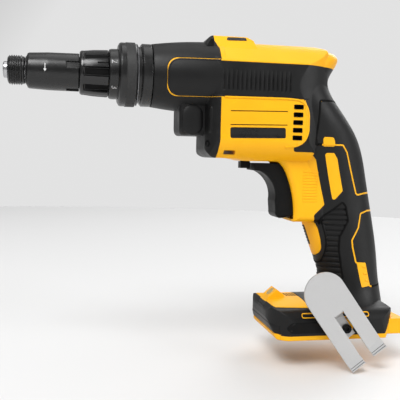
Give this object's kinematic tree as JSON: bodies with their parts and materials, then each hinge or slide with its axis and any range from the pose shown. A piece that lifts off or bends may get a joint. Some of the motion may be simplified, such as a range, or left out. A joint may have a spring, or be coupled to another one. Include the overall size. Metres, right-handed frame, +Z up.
{
  "type": "cordless screwdriver",
  "caption": "Pistol grip cordless screwdriver: hex bit spindle with quick release, torque collar, trigger, reversing lever, bare battery foot and belt hook.",
  "frame": {"origin": "centre of the bit socket's mouth, on the spindle axis", "axes": "+X along the spindle axis from the nose to the rear of the body, +Z up through the body away from the foot, +Y across the tool, away from the side with the belt hook"},
  "size_m": [0.2826, 0.0824, 0.2321],
  "materials": {
    "yellow_plastic": "fine moulded texture",
    "black_rubber": "soft matt overmould",
    "black_plastic": "satin moulded plastic",
    "trigger_plastic": "smooth satin plastic",
    "bright_steel": "ground and polished",
    "gear_steel": "machined, oiled",
    "spring_steel": "drawn wire",
    "hook_steel": "satin plated strip",
    "screw_steel": "dark zinc plated",
    "cast_alloy": "die cast, matt",
    "bronze": "sintered",
    "copper": "enamelled or plated",
    "board": "coated circuit board",
    "clear_lens": "clear, smooth"
  },
  "bodies": {
    "housing": {"clutch_housing": "black_plastic", "spindle_bush": "bronze", "number_ring": "black_plastic", "gear_case": "black_plastic", "bearing_plate": "cast_alloy", "spindle_bearing": "bright_steel", "front_motor_bearing": "bright_steel", "rear_motor_bearing": "bright_steel", "stator": "gear_steel", "windings": "copper", "switch_body": "black_plastic", "control_board": "board", "terminal_block": "black_plastic", "terminal_blades": "copper", "led_lens": "clear_lens", "led_board": "board", "belt_hook": "hook_steel", "hook_screw": "screw_steel", "housing_screws": "screw_steel", "housing_left": "yellow_plastic", "housing_right": "yellow_plastic", "front_cover_left": "black_rubber", "front_cover_right": "black_rubber", "grip_left": "black_rubber", "grip_right": "black_rubber", "palm_pad_left": "black_rubber", "palm_pad_right": "black_rubber", "heel_pad_left": "black_rubber", "heel_pad_right": "black_rubber", "finger_pad_left": "black_rubber", "finger_pad_right": "black_rubber"},
    "spindle": {"spindle": "bright_steel", "bit_ball": "bright_steel", "sleeve_ring": "bright_steel", "spindle_gear": "gear_steel"},
    "release_sleeve": {"release_sleeve": "black_plastic", "sleeve_spring": "spring_steel"},
    "nose_sleeve": {"nose_sleeve": "black_plastic"},
    "torque_collar": {"torque_collar": "black_plastic"},
    "clutch_adjuster": {"clutch_adjuster": "black_plastic", "clutch_spring": "spring_steel"},
    "clutch_plate": {"clutch_plate": "gear_steel"},
    "rotor": {"rotor": "gear_steel", "motor_shaft": "bright_steel", "motor_pinion": "gear_steel", "fan": "black_plastic"},
    "trigger": {"trigger": "trigger_plastic", "switch_plunger": "black_plastic", "trigger_spring": "spring_steel"},
    "direction_lever": {"direction_lever": "trigger_plastic"}
  },
  "joints": [
    {"name": "spindle_turn", "type": "hinge", "parent": "housing", "child": "spindle", "pos_m": [0, 0, 0], "axis": [1, 0, 0], "continuous": true},
    {"name": "rotor_turn", "type": "hinge", "parent": "housing", "child": "rotor", "pos_m": [0.164, 0, -0.02075], "axis": [1, 0, 0], "continuous": true},
    {"name": "release_slide", "type": "slide", "parent": "spindle", "child": "release_sleeve", "axis": [-1, 0, 0], "range_m": [0, 0.0035], "stiffness_N_per_m": 900, "springref_m": -0.004, "deforming": ["sleeve_spring"]},
    {"name": "nose_twist", "type": "hinge", "parent": "housing", "child": "nose_sleeve", "pos_m": [0.03, 0, 0], "axis": [1, 0, 0], "range_deg": [0, 40]},
    {"name": "collar_turn", "type": "hinge", "parent": "housing", "child": "torque_collar", "pos_m": [0.06, 0, 0], "axis": [1, 0, 0], "range_deg": [-180, 60]},
    {"name": "adjuster_slide", "type": "slide", "parent": "housing", "child": "clutch_adjuster", "axis": [1, 0, 0], "range_m": [-0.00101, 0.00301], "deforming": ["clutch_spring"]},
    {"name": "clutch_slip", "type": "slide", "parent": "spindle", "child": "clutch_plate", "axis": [-1, 0, 0], "range_m": [0, 0.003], "stiffness_N_per_m": 6000, "springref_m": -0.006},
    {"name": "trigger_pull", "type": "slide", "parent": "housing", "child": "trigger", "axis": [1, 0, 0], "range_m": [0, 0.006], "stiffness_N_per_m": 900, "springref_m": -0.005, "deforming": ["trigger_spring"]},
    {"name": "direction_swing", "type": "hinge", "parent": "housing", "child": "direction_lever", "pos_m": [0.1826, 0, -0.055], "axis": [0, 0, 1], "range_deg": [-10, 10]}
  ],
  "couplings": [
    {"joint": "rotor_turn", "follows": "spindle_turn", "ratio": -4.1111},
    {"joint": "adjuster_slide", "follows": "collar_turn", "m_per_rad": -0.00095493}
  ]
}
